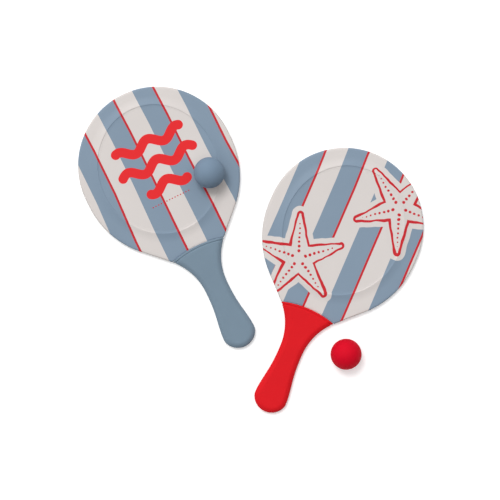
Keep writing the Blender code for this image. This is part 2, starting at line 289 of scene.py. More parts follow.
def seam_sag(x):
    """How far the seam's arc has fallen back towards the tip at x."""
    return SEAM_RADIUS - np.sqrt(np.maximum(0.0, SEAM_RADIUS**2 - np.asarray(x) ** 2))


print("seam: radius", mm(SEAM_RADIUS), "mm about a centre at y =", mm(SEAM_CENTRE_Y), "mm")

# %% [markdown]
# A spoke ends at the outline or at the seam, whichever it meets first. A formula would need a case
# for every stretch of the edge. Halving needs none: we only say whether a point is still on the
# blade, and close in on the last one that is. At the seam the blade's edge is only slightly
# rounded, so it is drawn in by a share of what the rim is.

# %% How far a spoke runs
PANEL_OFFSET = 0.0052
SEAM_EDGE_SHARE = 0.35


def bisect(test, low, high, steps=40):
    """Arrays of values between low, where test holds, and high, where it doesn't."""
    low, high = np.array(low, float), np.array(high, float)
    for _ in range(steps):
        middle = (low + high) / 2
        holds = test(middle)
        low, high = np.where(holds, middle, low), np.where(holds, high, middle)
    return low


def blade_reach(angles, inset):
    """How far the blade runs from the panel's centre along each spoke, drawn in by inset."""
    seam_reach = SEAM_RADIUS + CLEARANCE + SEAM_EDGE_SHARE * inset

    def inside(distance):
        x = distance * np.cos(angles)
        y = distance * np.sin(angles) - PANEL_OFFSET
        above_seam = np.hypot(x, y - SEAM_CENTRE_Y) > seam_reach
        return (np.abs(x) < half_width(y, inset)) & above_seam

    return bisect(inside, np.zeros(len(angles)), np.full(len(angles), TIP_DISTANCE))


print("the spoke up the head runs", mm(blade_reach(np.array([QUARTER]), 0.0)[0]), "mm")

# %% [markdown]
# Two spokes point exactly at the corners where the seam meets the edge, so the corners stay sharp.
# The rest are spread evenly between them: most over the head, and some along the seam.

# %% Directions of the spokes
HEAD_SPOKES = 300
SEAM_SPOKES = 60


def spoke_angles():
    """Spokes over the head from corner to corner, then those along the seam."""

    def on_blade(distance):
        edge_reach = np.hypot(half_width(-distance), -distance - SEAM_CENTRE_Y)
        return edge_reach > SEAM_RADIUS + CLEARANCE

    y = -float(bisect(on_blade, FLANK_LENGTH, WAIST_DISTANCE))
    corner = math.atan2(y + PANEL_OFFSET, float(half_width(y)))
    over_head = math.pi - 2 * corner
    head = np.linspace(corner, corner + over_head, HEAD_SPOKES, endpoint=False)
    seam = np.linspace(corner + over_head, corner + 2 * math.pi, SEAM_SPOKES, endpoint=False)
    return np.concatenate([head, seam])


angles = spoke_angles()
print("spokes:", len(angles), "longest", mm(blade_reach(angles, 0.0).max()), "mm")

# %% [markdown]
# The profile starts with the panel's wall, which eases in and out like any moulded corner. The cove
# follows, steepest at the crest and flat at its foot. Both are written as pairs of a distance and a
# depth, so that one list serves every spoke, however long the spoke is.

# %% The face's profile, out to the cove's foot
PANEL_RECESS = 0.0005
PANEL_WALL = 0.0006
WALL_INNER_SHARE = 1.15
WALL_OUTER_SHARE = 0.10
WALL_STEPS = 8
CREST_WIDTH = 0.0006
COVE_WIDTH = 0.0135
COVE_DEPTH = 0.0021
COVE_ONSET = 0.04
COVE_STEPS = 18


def face_profile():
    """(distance past the panel, depth below the crest) pairs: wall, crest and cove."""
    wall = []
    for share in np.linspace(0, 1, WALL_STEPS + 1):
        ease = share * share * (3 - 2 * share)
        run = (WALL_INNER_SHARE + WALL_OUTER_SHARE) * share - WALL_INNER_SHARE
        wall.append((PANEL_WALL * run, PANEL_RECESS * (1 - ease)))
    cove = []
    for share in np.linspace(0, 1, COVE_STEPS + 1):
        eased = share * share * (1 + COVE_ONSET) / (share + COVE_ONSET)
        cove.append((CREST_WIDTH + COVE_WIDTH * share, COVE_DEPTH * (1 - (1 - eased) ** 2)))
    return wall + cove


print("profile:", len(face_profile()), "points, down to", mm(face_profile()[-1][1]), "mm")

# %% [markdown]
# Outside the cove the rim ends in a quarter circle on each face. Between the two runs a hair-thin
# ridge where the halves of the mould met. It shows only from the side, and it is the detail that
# makes an edge look moulded instead of cut. The underside has the same shape as the upper face, so
# its rings are the upper ones turned over.

# %% The blade's rings
PANEL_HALF_WIDTH = 0.081
PANEL_HALF_LENGTH = 0.0885
PANEL_RINGS = (0.1, 0.3, 0.5, 0.7, 0.85, 0.95)
CREST_THICKNESS = 0.012
RIM_DEPTH = 0.0024
RIM_RUN_RINGS = (0.33, 0.67)
RIM_EDGE_RADIUS = 0.0025
RIM_EDGE_STEPS = 8
PARTING_RIDGE = 0.00012
RIDGE_FOOT_HEIGHT = 2 * PARTING_RIDGE
RIDGE_TOP_HEIGHT = 0.5 * PARTING_RIDGE
TURN_OVER = np.array([1, 1, -1])


def blade_shell():
    """The blade without its tang, ring by ring from the upper face to the lower one."""
    half = CREST_THICKNESS / 2
    panel = 1 / np.hypot(np.cos(angles) / PANEL_HALF_WIDTH, np.sin(angles) / PANEL_HALF_LENGTH)
    upper = []

    def ring(distance, height):
        x = distance * np.cos(angles)
        y = distance * np.sin(angles) - PANEL_OFFSET
        upper.append(np.stack([x, y, np.full(len(angles), height)], axis=1))

    for share in PANEL_RINGS:
        ring(panel * share, half - PANEL_RECESS)
    for run, depth in face_profile():
        ring(panel + run, half - depth)
    cove_foot = panel + CREST_WIDTH + COVE_WIDTH
    rim_start = blade_reach(angles, RIM_EDGE_RADIUS)
    for share in RIM_RUN_RINGS:
        depth = COVE_DEPTH + (RIM_DEPTH - COVE_DEPTH) * share
        ring(cove_foot + (rim_start - cove_foot) * share, half - depth)
    for turn in np.linspace(0, QUARTER, RIM_EDGE_STEPS + 1):
        inset = RIM_EDGE_RADIUS * (1 - math.sin(turn)) + PARTING_RIDGE
        height = half - RIM_DEPTH - RIM_EDGE_RADIUS * (1 - math.cos(turn))
        ring(blade_reach(angles, inset), height)
    ring(blade_reach(angles, PARTING_RIDGE), RIDGE_FOOT_HEIGHT)
    ring(blade_reach(angles, 0.0), RIDGE_TOP_HEIGHT)
    lower = [points * TURN_OVER for points in reversed(upper)]
    return skin_rings("blade_shell", upper + lower)


blade_without_tang = blade_shell()
print("blade without its tang:", len(blade_without_tang.vertices), "points")

# %% [markdown]
# Behind the seam the moulding goes on as a thinner, narrower tang that the rubber grips. It is
# hidden, but a part is not a film set: if someone pulls the grip off, the tang should be there. It
# is the same outline drawn in by the grip's wall, cut from a flat plate and joined to the blade.

# %% The tang, and the whole blade
GRIP_WALL = 0.0035
TANG_THICKNESS = 0.006
TANG_ROOT = 0.012
TANG_START_Y = TANG_ROOT - SEAM_DISTANCE
MIRROR = np.array([-1, 1])


def plate(name, inset, thickness, start_y):
    """A flat plate with the bat's outline drawn in by inset, from start_y to near the tip."""
    right = side_outline(inset)
    right = right[right[:, 1] < start_y]
    right = np.concatenate([[[float(half_width(start_y, inset)), start_y]], right])
    left = right[right[:, 0] > WELD_DISTANCE][::-1] * MIRROR
    outline = np.concatenate([right, left])
    rings = []
    for height in (-thickness / 2, thickness / 2):
        rings.append(np.column_stack([outline, np.full(len(outline), height)]))
    return skin_rings(name, rings)


tang = plate("tang", GRIP_WALL, TANG_THICKNESS, TANG_START_Y)
blade_mesh = joined("blade", blade_without_tang, tang, "UNION")
print("blade:", len(blade_mesh.vertices), "points,", len(blade_mesh.polygons), "faces")

# %% [markdown]
# ## The grip
#
# The grip is a rubber sleeve moulded over the tang. It is flat on both faces, with round sides, and
# at the front it ends in a raised bead with a shallow groove behind it. The bead follows an arc
# that bulges towards the head. A plain extrusion with a bevel can't make that front edge, so we cut
# the grip into slices instead, and each slice is a flat bar with rounded sides.
#
# First the front edge: one short function says how far the skin drops below its full size. It is
# full over the bead's crest, lower in the groove and full again along the shaft.

# %% The bead and the groove
BEAD_RADIUS = 0.0016
BEAD_FRONT = 0.0022
GROOVE_DEPTH = 0.0008
GROOVE_FALL = 0.0012
GROOVE_RISE = 0.0018
GROOVE_END = BEAD_FRONT + GROOVE_FALL + GROOVE_RISE


def bead_drop(distance):
    """How far the skin lies below its full size, at a distance behind the seam."""
    if distance < BEAD_FRONT:
        return BEAD_RADIUS * (1 - math.sqrt(1 - (1 - distance / BEAD_FRONT) ** 2))
    past_bead = distance - BEAD_FRONT
    if past_bead < GROOVE_FALL:
        return GROOVE_DEPTH * (1 - math.cos(math.pi * past_bead / GROOVE_FALL)) / 2
    past_groove = past_bead - GROOVE_FALL
    if past_groove < GROOVE_RISE:
        return GROOVE_DEPTH * (1 + math.cos(math.pi * past_groove / GROOVE_RISE)) / 2
    return 0.0


print("the groove ends", mm(GROOVE_END), "mm behind the seam")

# %% [markdown]
# The sides aren't quarter circles. They are superellipses, which leave the flat face sooner and
# slope more evenly, so each side shows as one band of a single tone. A point's height depends only
# on how far it lies from the outline, so the band keeps its width round the end as well.

# %% The round sides
GRIP_SIDE_HEIGHT = 0.0055
GRIP_SIDE_REACH = 0.0070
GRIP_SIDE_POWER = 1.7


def outline_distance(points):
    """Shortest distance from each (x, y) point to the bat's outline."""
    edge = side_outline()
    start, run = edge[:-1], np.diff(edge, axis=0)
    past_x = np.abs(points[:, None, 0]) - start[:, 0]
    past_y = points[:, None, 1] - start[:, 1]
    share = (past_x * run[:, 0] + past_y * run[:, 1]) / (run**2).sum(axis=1)
    share = np.clip(share, 0, 1)
    return np.hypot(past_x - share * run[:, 0], past_y - share * run[:, 1]).min(axis=1)


def side_fall(distance):
    """How far the round side lies below the face, at a distance in from the outline."""
    past = np.clip(1 - distance / GRIP_SIDE_REACH, 0, 1)
    return GRIP_SIDE_HEIGHT * (1 - (1 - past**GRIP_SIDE_POWER) ** (1 / GRIP_SIDE_POWER))


def across_grip(half_wide, side_steps=12, face_steps=16):
    """Values of x from one side to the other, close together over the round sides."""
    reach = min(GRIP_SIDE_REACH, half_wide)
    turn = np.linspace(0, QUARTER, side_steps + 1)
    side = half_wide - reach * (1 - np.maximum(np.cos(turn), 0) ** (2 / GRIP_SIDE_POWER))
    face = np.linspace(half_wide - reach, reach - half_wide, face_steps + 1)[1:-1]
    return np.concatenate([side, face, -side[::-1]])


print("halfway in, a side lies", mm(side_fall(GRIP_SIDE_REACH / 2), 2), "mm below the face")

# %% [markdown]
# The slices lie close together over the bead, the groove and the tip, and further apart along the
# shaft. The first ones follow the seam's arc, and they straighten by the waist.

# %% The grip's slices
GRIP_THICKNESS = CREST_THICKNESS
BEAD_STEPS = 12
GROOVE_STEPS = 18
SHAFT_STEPS = 43
TIP_SLICES = 34
TIP_FIRST_DEGREES = 58
TIP_LAST_DEGREES = 2


def grip_stations():
    """Distances behind the seam, close together where the skin curves."""
    length = TIP_DISTANCE - SEAM_DISTANCE
    bead = BEAD_FRONT * (1 - np.cos(np.linspace(0, QUARTER, BEAD_STEPS + 1)))
    groove = np.linspace(BEAD_FRONT, GROOVE_END, GROOVE_STEPS + 1)[1:]
    turn = np.radians(np.linspace(TIP_FIRST_DEGREES, TIP_LAST_DEGREES, TIP_SLICES))
    tip = length - handle_end_radius() * (1 - np.cos(turn))
    shaft = np.linspace(GROOVE_END, tip[0], SHAFT_STEPS + 1)[1:-1]
    return np.concatenate([bead, groove, shaft, tip])


def slice_y(distance, x):
    """y at x of the slice that lies a distance behind the seam."""
    share = min(1.0, distance / (WAIST_DISTANCE - SEAM_DISTANCE))
    curve = 1 - share * share * (3 - 2 * share)
    return -SEAM_DISTANCE - distance - curve * seam_sag(x)


def grip_slice(distance):
    """One slice's points, across the upper side and back along the lower one."""
    edge = bisect(lambda x: x < half_width(slice_y(distance, x)), 0.0, HEAD_RADIUS)
    drop = bead_drop(distance)
    x = across_grip(float(edge) - drop)
    y = slice_y(distance, x)
    inward = outline_distance(np.column_stack([x, y]))
    z = GRIP_THICKNESS / 2 - drop - side_fall(inward - inward[0])
    upper = np.column_stack([x, y, z])
    return np.concatenate([upper, upper[::-1] * TURN_OVER])


slices = [grip_slice(distance) for distance in grip_stations()]
sleeve = skin_rings("grip_shell", slices, cap_by_strips=True)
print("slices from the bead to the tip:", len(slices))

# %% [markdown]
# The sleeve is still solid. Its socket is the tang's plate again, a little larger all round, and
# taking it out leaves the room that the tang fills.

# %% The socket, and the whole grip
SOCKET_HEIGHT = TANG_THICKNESS + 2 * CLEARANCE

socket = plate("socket", GRIP_WALL - CLEARANCE, SOCKET_HEIGHT, TANG_START_Y)
grip_mesh = joined("grip", sleeve, socket, "DIFFERENCE")
print("grip:", len(grip_mesh.vertices), "points,", len(grip_mesh.polygons), "faces")

# %% [markdown]
# ## The balls
#
# Each ball is a hollow rubber shell pressed in a two-part mould, so a very fine line runs round its
# middle. A ready-made sphere has no such line. We turn our own profile instead, as on a lathe: rings
# from pole to pole, with a few close ones for the line.

# %% One ball, turned from a profile
BALL_RADIUS = 0.021
BALL_LINE_HEIGHT = 0.00008
BALL_LINE_WIDTH = 0.0005
BALL_POINTS_AROUND = 128
BALL_RINGS = 44
BALL_LINE_RINGS = 7
BALL_TOP_LATITUDE = QUARTER - 0.02
BALL_LOW_LATITUDE = 0.05
BALL_LINE_LATITUDE = 0.04
NO_SHARP_EDGES = math.pi


def ball_mesh(name):
    """A ball with a fine raised line round its middle, where z is 0."""
    sides = np.linspace(BALL_TOP_LATITUDE, BALL_LOW_LATITUDE, BALL_RINGS)
    latitudes = np.concatenate([sides, np.linspace(BALL_LINE_LATITUDE, 0, BALL_LINE_RINGS)])
    around = np.linspace(0, 2 * math.pi, BALL_POINTS_AROUND, endpoint=False)
    upper = []
    for latitude in latitudes:
        height = BALL_RADIUS * math.sin(latitude)
        line = BALL_LINE_HEIGHT * math.exp(-((height / BALL_LINE_WIDTH) ** 2))
        radius = (BALL_RADIUS - BALL_LINE_HEIGHT + line) * math.cos(latitude)
        heights = np.full(BALL_POINTS_AROUND, height)
        upper.append(np.stack([radius * np.cos(around), radius * np.sin(around), heights], axis=1))
    lower = [ring * TURN_OVER for ring in reversed(upper[:-1])]
    return skin_rings(name, upper + lower, sharp_angle=NO_SHARP_EDGES)


blue_ball_mesh, red_ball_mesh = ball_mesh("blue_ball_skin"), ball_mesh("red_ball_skin")
print("ball:", len(blue_ball_mesh.vertices), "points")

# %% [markdown]
# ## Setting the pieces in place
#
# The CAD boxes say where everything lies. A head is a circle, so its centre is one radius in from
# the blade box's left or right side and one radius down from its top. The grip's points lie evenly
# about the handle's axis, so the direction from that centre to their mean is the way the handle
# points. Reading both from the frame keeps this script right if the layout changes.

# %% Where the bats and balls lie


def bat_matrix(colour, head_side):
    """Place and turn of a bat. head_side is -1 where its head reaches the box's left side."""
    low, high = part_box(f"{colour}_bat_blade")
    side = low.x if head_side < 0 else high.x
    centre = Vector((side - head_side * HEAD_RADIUS, high.y - HEAD_RADIUS, (low.z + high.z) / 2))
    points = np.array([v.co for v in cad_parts[f"{colour}_bat_grip"].data.vertices])
    away = points.mean(axis=0)[:2] - np.array(centre[:2])
    turn = math.atan2(away[1], away[0]) + QUARTER
    degrees = round(math.degrees(turn), 2)
    print(colour, "bat: centre", [mm(c) for c in centre], "mm, turned", degrees, "degrees")
    return Matrix.Translation(centre) @ Matrix.Rotation(turn, 4, "Z")


def ball_matrix(node, tilt):
    """Place of a ball, with its fine line tilted out of the level."""
    low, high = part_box(node)
    return Matrix.Translation((low + high) / 2) @ Matrix.Rotation(tilt, 4, "X")


blue_matrix, red_matrix = bat_matrix("blue", -1), bat_matrix("red", 1)

# %% [markdown]
# Now each piece is made and set on the body it rides on, and the CAD solid it stands for is hidden.
# Nothing moves in this set, so all of them ride on the root. The places go into the points
# themselves, so every object keeps its origin at the set's own.

# %% The six pieces
BLUE_BALL_TILT = math.radians(14)
RED_BALL_TILT = math.radians(-9)


def place(piece, matrix, node):
    """Move a piece's points to where its CAD node is, set it on the root body and hide that CAD
    node.
    """
    piece.data.transform(matrix)
    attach(piece, "root")
    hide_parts(node)
    print(piece.name, "stands for", node)


blue_blade = new_piece("blue_bat_printed_blade", blade_mesh.copy())
red_blade = new_piece("red_bat_printed_blade", blade_mesh.copy())
blue_grip = new_piece("blue_bat_rubber_grip", grip_mesh.copy())
red_grip = new_piece("red_bat_rubber_grip", grip_mesh.copy())
blue_ball = new_piece("blue_rubber_ball", blue_ball_mesh)
red_ball = new_piece("red_rubber_ball", red_ball_mesh)

place(blue_blade, blue_matrix, "blue_bat_blade")
place(blue_grip, blue_matrix, "blue_bat_grip")
place(red_blade, red_matrix, "red_bat_blade")
place(red_grip, red_matrix, "red_bat_grip")
place(blue_ball, ball_matrix("blue_ball", BLUE_BALL_TILT), "blue_ball")
place(red_ball, ball_matrix("red_ball", RED_BALL_TILT), "red_ball")

# %% [markdown]
# ## Printing with arithmetic
#
# The stripes and figures are printed on the plastic. An image texture would be the usual way, but
# then the print is only as sharp as its pixels. Here the print is computed at every point from the
# point's place on the bat, so it stays crisp at any distance.
#
# Wiring dozens of Math nodes by hand is hard to read. The small class below lets us write ordinary
# formulas: each sum or product adds one Math node behind the scenes. A Field is a number that
# varies over the surface.

# %% Formulas that build Math nodes


class Field:
    """A number that varies over a surface, held by a node's output socket."""

    def __init__(self, tree, socket):
        self.tree = tree
        self.socket = socket

    def math(self, operation, *others, clamp=False):
        """One Math node, with this field as its first number."""
        node = self.tree.nodes.new("ShaderNodeMath")
        node.operation = operation
        node.use_clamp = clamp
        for entry, value in zip(node.inputs, (self, *others)):
            if isinstance(value, Field):
                self.tree.links.new(value.socket, entry)
            else:
                entry.default_value = value
        return Field(self.tree, node.outputs["Value"])

    def __add__(self, other):
        return self.math("ADD", other)

    def __sub__(self, other):
        return self.math("SUBTRACT", other)

    def __mul__(self, other):
        return self.math("MULTIPLY", other)

    def __truediv__(self, other):
        return self.math("DIVIDE", other)

    def __neg__(self):
        return self.math("MULTIPLY", -1.0)

    def __abs__(self):
        return self.math("ABSOLUTE")

    def minimum(self, other):
        return self.math("MINIMUM", other)

    def maximum(self, other):
        return self.math("MAXIMUM", other)

    def between(self, lowest, highest):
        return self.maximum(lowest).minimum(highest)

    def below(self, limit, softness):
        """1 where this is below limit, 0 above it, with an edge that is softness wide."""
        return (self - limit).math("MULTIPLY_ADD", -1.0 / softness, 0.5, clamp=True)


def length_of(x, y):
    """Distance from (0, 0) to (x, y)."""
    return (x * x + y * y).math("SQRT")


print("beside + - * /, a field offers", [n for n in vars(Field) if not n.startswith("_")])

# %% [markdown]
# A formula needs places to start from. The shader hands us the object's coordinates, and a Mapping
# node of the kind that maps textures undoes the bat's place and turn, so x, y and z are the
# mould's own again. One set of formulas then fits both bats. Noise, for anything uneven, can be
# read at the same places.

# %% Places on the surface, and noise


def surface_place(tree, matrix):
    """The point's x, y and z in the frame that matrix sets down, and the same as one vector."""
    coordinates = tree.nodes.new("ShaderNodeTexCoord")
    back = tree.nodes.new("ShaderNodeMapping")
    back.vector_type = "TEXTURE"
    back.inputs["Location"].default_value = matrix.translation
    back.inputs["Rotation"].default_value = matrix.to_euler()
    split = tree.nodes.new("ShaderNodeSeparateXYZ")
    tree.links.new(coordinates.outputs["Object"], back.inputs["Vector"])
    tree.links.new(back.outputs["Vector"], split.inputs["Vector"])
    fields = [Field(tree, split.outputs[axis]) for axis in "XYZ"]
    return fields, back.outputs["Vector"]


def noise(tree, vector, size, detail=2.0):
    """Noise from 0 to 1 whose blotches are about size metres across."""
    node = tree.nodes.new("ShaderNodeTexNoise")
    node.inputs["Scale"].default_value = 1.0 / size
    node.inputs["Detail"].default_value = detail
    tree.links.new(vector, node.inputs["Vector"])
    return Field(tree, node.outputs["Fac"])


def uneven(tree, vector, middle, spread, size, detail=2.0):
    """A number that wanders about middle, within half of spread either way."""
    return noise(tree, vector, size, detail) * spread + (middle - spread / 2)


print("the red bat's coordinates turn back by", round(math.degrees(red_matrix.to_euler().z), 2))

# %% [markdown]
# Ink covers what lies under it. A Mix node does the same with colours: where the mask is 1 it shows
# the ink, and elsewhere the ground. Each layer of print is then one call, laid over the last. The
# node has sockets of the same names for numbers, vectors and colours, so we pick the ones for
# colours by their position.

# %% Laying ink over a ground
MIX_FACTOR = 0
MIX_FIRST_COLOUR = 6
MIX_SECOND_COLOUR = 7
MIX_COLOUR_RESULT = 2


def feed(tree, colour, entry):
    """Give an entry socket a colour, which is another socket or a plain (r, g, b)."""
    if isinstance(colour, tuple):
        entry.default_value = (*colour, 1.0)[: len(entry.default_value)]
    else:
        tree.links.new(colour, entry)


def inked(tree, ground, ink, mask):
    """Colour socket: ink over ground where mask is 1."""
    mix = tree.nodes.new("ShaderNodeMix")
    mix.data_type = "RGBA"
    tree.links.new(mask.socket, mix.inputs[MIX_FACTOR])
    feed(tree, ground, mix.inputs[MIX_FIRST_COLOUR])
    feed(tree, ink, mix.inputs[MIX_SECOND_COLOUR])
    return mix.outputs[MIX_COLOUR_RESULT]


print("ink covers its ground where the mask is 1")

# %% [markdown]
# ## Stripes
#
# Printed stripes run along the handle's axis and repeat: off-white, grey-blue, and a thin red line
# on the blue one's right edge. To draw them, take x modulo the pitch, measured from the middle of a
# red line, and ask which band the remainder falls in. A real print edge is slightly soft where the
# inks meet, and the same softness here keeps the edges from flickering at a distance.
#
# Such a print usually comes on a film that is pressed onto the moulding, and film stretches. The
# stripes spread a little towards the grip, and at the far rim they lean over by a millimetre. We
# get both by bending x before the stripes are laid out.

# %% The film's stretch
SPREAD_START = -0.010
SPREAD_END = -0.080
SPREAD_REACH = 0.070
LEAN_START = 0.055
LEAN_END = 0.100
LEAN = 0.0014


def film_place(x, y, spread):
    """x as it was on the film before the film stretched over the blade."""
    near_grip = ((y - SPREAD_START) / (SPREAD_END - SPREAD_START)).between(0.0, 1.0)
    far_rim = ((y - LEAN_START) / (LEAN_END - LEAN_START)).between(0.0, 1.0)
    pulled = x.between(-SPREAD_REACH, SPREAD_REACH)
    return x - pulled * near_grip * spread + far_rim * LEAN


print("the film leans by", mm(LEAN), "mm at the far rim")

# %% [markdown]
# The two bats have the same stripes, but not quite at the same places or equally wide. So those
# sizes are given bat by bat, further on, and the function below takes them as they come.

# %% Stripe masks
INK_EDGE = 0.00025
RED_LINE_WIDTH = 0.0030


def stripe_masks(x, y, line_x, pitch, blue_width, spread):
    """Masks of the blue stripes and of the red lines. One red line is centred at line_x."""
    x = film_place(x, y, spread)
    past_line = (x - (line_x - pitch / 2)).math("FLOORED_MODULO", pitch) - pitch / 2
    red = abs(past_line).below(RED_LINE_WIDTH / 2, INK_EDGE)
    blue_middle = -(RED_LINE_WIDTH + blue_width) / 2
    blue = abs(past_line - blue_middle).below(blue_width / 2, INK_EDGE)
    return blue, red


print("red lines are", mm(RED_LINE_WIDTH), "mm wide")

# %% [markdown]
# ## Starfish
#
# The red-handled bat carries two starfish drawn in red line, each on an off-white patch a little
# larger than itself. A starfish has five equal arms, so we fold the plane: the angle round its
# centre is reduced to the angle from the nearest arm, and then one arm is enough. In folded
# coordinates, along is the distance up the arm and beside is the distance off its axis.
#
# The arm's edge is a straight taper with a round tip. We want the distance to that edge, because
# one distance gives both the drawn line and the patch round it.

# %% One arm of a starfish
ARM_STEP = 2 * math.pi / 5
STAR_NOTCH = 0.0215
STAR_TIP_RADIUS = 0.0032


def folded_to_arm(dx, dy, first_arm):
    """(along, beside) of a point, measured on its nearest arm."""
    radius = length_of(dx, dy)
    angle = dy.math("ARCTAN2", dx) - (first_arm - ARM_STEP / 2)
    off_arm = angle.math("FLOORED_MODULO", ARM_STEP) - ARM_STEP / 2
    return radius * off_arm.math("COSINE"), abs(radius * off_arm.math("SINE"))


def arm_edge_distance(along, beside, tip_along):
    """Distance outside the arm's edge, less than 0 inside it."""
    notch_along = STAR_NOTCH * math.cos(ARM_STEP / 2)
    notch_beside = STAR_NOTCH * math.sin(ARM_STEP / 2)
    taper = (notch_beside - STAR_TIP_RADIUS) / (tip_along - notch_along)
    slope = math.cos(math.atan(taper))
    to_side = (beside - (-(along - notch_along) * taper + notch_beside)) * slope
    to_tip = length_of((along - tip_along).maximum(0.0), beside) - STAR_TIP_RADIUS
    past_tip = (along - tip_along).math("GREATER_THAN", 0.0)
    return to_side + (to_tip - to_side) * past_tip


print("notches", mm(STAR_NOTCH), "mm off the centre; tips", mm(STAR_TIP_RADIUS), "mm in radius")

# %% [markdown]
# Along the middle of each arm runs a row of dots that shrink towards the tip. The line swells and
# thins with a slow noise, called weight here, because a drawn line is never quite even.

# %% Starfish masks
STAR_LINE = 0.0023
STAR_LINE_SWELL = 0.0018
STAR_PATCH = 0.0084
DOT_SPACING = 0.0062
DOT_FIRST_RADIUS = 0.0024
DOT_LAST_RADIUS = 0.0007
DOTS_LEFT_OFF = 1.2


def arm_dots(along, beside, tip_along):
    """Mask of the row of dots up the middle of an arm."""
    row = along.math("FLOORED_MODULO", DOT_SPACING) - DOT_SPACING / 2
    shrink = (DOT_FIRST_RADIUS - DOT_LAST_RADIUS) / tip_along
    dot_radius = -along * shrink + DOT_FIRST_RADIUS
    row_end = tip_along - DOTS_LEFT_OFF * DOT_SPACING
    in_row = along.math("GREATER_THAN", DOT_SPACING) * along.below(row_end, INK_EDGE)
    return (length_of(row, beside) - dot_radius).below(0.0, INK_EDGE) * in_row


def starfish_masks(x, y, weight, centre, arm_length, first_arm):
    """Masks of a starfish's red drawing and of the patch under it."""
    along, beside = folded_to_arm(x - centre[0], y - centre[1], first_arm)
    tip_along = arm_length - STAR_TIP_RADIUS
    edge = arm_edge_distance(along, beside, tip_along)
    line = (abs(edge) - weight * (STAR_LINE_SWELL / 2)).below(STAR_LINE / 2, INK_EDGE)
    drawing = line.maximum(arm_dots(along, beside, tip_along))
    return drawing, edge.below(STAR_PATCH, INK_EDGE)


print("the patch reaches", mm(STAR_PATCH), "mm past the drawn line")

# %% [markdown]
# ## Waves
#
# The blue-handled bat carries three bold rows of red waves across its middle, and a fine row of
# dots under them. Each row of waves is a sine curve with a thick, round-ended stroke. To keep the
# stroke equally thick all along, we need the distance to the nearest point of the curve and not the
# height above it. Two steps of Newton's method find that point well enough.

# %% Wave masks
WAVE_LENGTH = 0.0430
WAVE_HEIGHT = 0.0058
WAVE_STROKE = 0.0130
WAVE_TURN = 2 * math.pi / WAVE_LENGTH
NEWTON_STEPS = 2


def wave_rise(x):
    """Height of the sine curve at x."""
    return (x * WAVE_TURN).math("COSINE") * WAVE_HEIGHT


def wave_mask(x, y, middle, half_length):
    """Mask of one row of waves, centred on middle."""
    dx, dy = x - middle[0], y - middle[1]
    foot = dx.between(-half_length, half_length)
    for _ in range(NEWTON_STEPS):
        slope = -(foot * WAVE_TURN).math("SINE") * (WAVE_HEIGHT * WAVE_TURN)
        miss = (dx - foot) + (dy - wave_rise(foot)) * slope
        foot = (foot + miss / (slope * slope + 1.0)).between(-half_length, half_length)
    return length_of(dx - foot, dy - wave_rise(foot)).below(WAVE_STROKE / 2, INK_EDGE)


print("one wave is", mm(WAVE_LENGTH), "mm long")

# %% [markdown]
# The fine row of dots is simpler. The same modulo that repeats the stripes repeats one dot along a
# line, and a second mask ends the row after the last dot.

# %% A row of small dots
SMALL_DOT_RADIUS = 0.0009
SMALL_DOT_SPACING = 0.0041
SMALL_DOT_HALF_COUNT = 7


def dot_row_mask(x, y, middle):
    """Mask of a straight row of small dots, centred on middle."""
    dx, dy = x - middle[0], y - middle[1]
    off_dot = dx.math("FLOORED_MODULO", SMALL_DOT_SPACING) - SMALL_DOT_SPACING / 2
    in_row = abs(dx).below(SMALL_DOT_HALF_COUNT * SMALL_DOT_SPACING, INK_EDGE)
    return length_of(off_dot, dy).below(SMALL_DOT_RADIUS, INK_EDGE) * in_row


print("small dots in the row:", 2 * SMALL_DOT_HALF_COUNT)

# %% [markdown]
# ## Finishes
#
# Plastic and rubber differ in colour and gloss, but both need the same three things: a shader, a
# base colour that wanders slightly in tone, and bump. Bump stands for relief that is far too
# shallow to be worth geometry. The helpers below set those up for any finish.

# %% What every finish needs


def principled(name):
    """A new material, its node tree and its shader."""
    material = bpy.data.materials.new(name)
    material.use_nodes = True
    return material, material.node_tree, material.node_tree.nodes["Principled BSDF"]


def tone_colour(tree, shader, colour, tone):
    """Base colour: the colour made lighter or darker by tone, a number near 1."""
    tint = tree.nodes.new("ShaderNodeVectorMath")
    tint.operation = "SCALE"
    feed(tree, colour, tint.inputs[0])
    tree.links.new(tone.socket, tint.inputs["Scale"])
    tree.links.new(tint.outputs["Vector"], shader.inputs["Base Color"])


def add_bump(tree, shader, layers):
    """Chain bump nodes. Each layer is a height field and its depth in metres."""
    normal = None
    for height, depth in layers:
        bump = tree.nodes.new("ShaderNodeBump")
        bump.inputs["Strength"].default_value = 1.0
        bump.inputs["Distance"].default_value = depth
        tree.links.new(height.socket, bump.inputs["Height"])
        if normal:
            tree.links.new(normal, bump.inputs["Normal"])
        normal = bump.outputs["Normal"]
    tree.links.new(normal, shader.inputs["Normal"])


def dress(piece, material):
    """Give a piece its one material."""
    piece.data.materials.clear()
    piece.data.materials.append(material)
    print(piece.name, "is", material.name, "with", len(material.node_tree.nodes), "nodes")


print("finish helpers ready")

# %% [markdown]
# ## Printed plastic
#
# The moulding is off-white plastic, and the print covers both faces and most of the rounded edge.
# The last two millimetres of the rim, where the mould halves met, stay bare. The figures are only
# on the upper face, so the underside has plain stripes.
#
# The surface is satin. Close up it has a very fine spark-eroded grain, and a slow unevenness of a
# centimetre or so that breaks up reflections. Ink is a little glossier than bare plastic, so
# roughness follows the print.

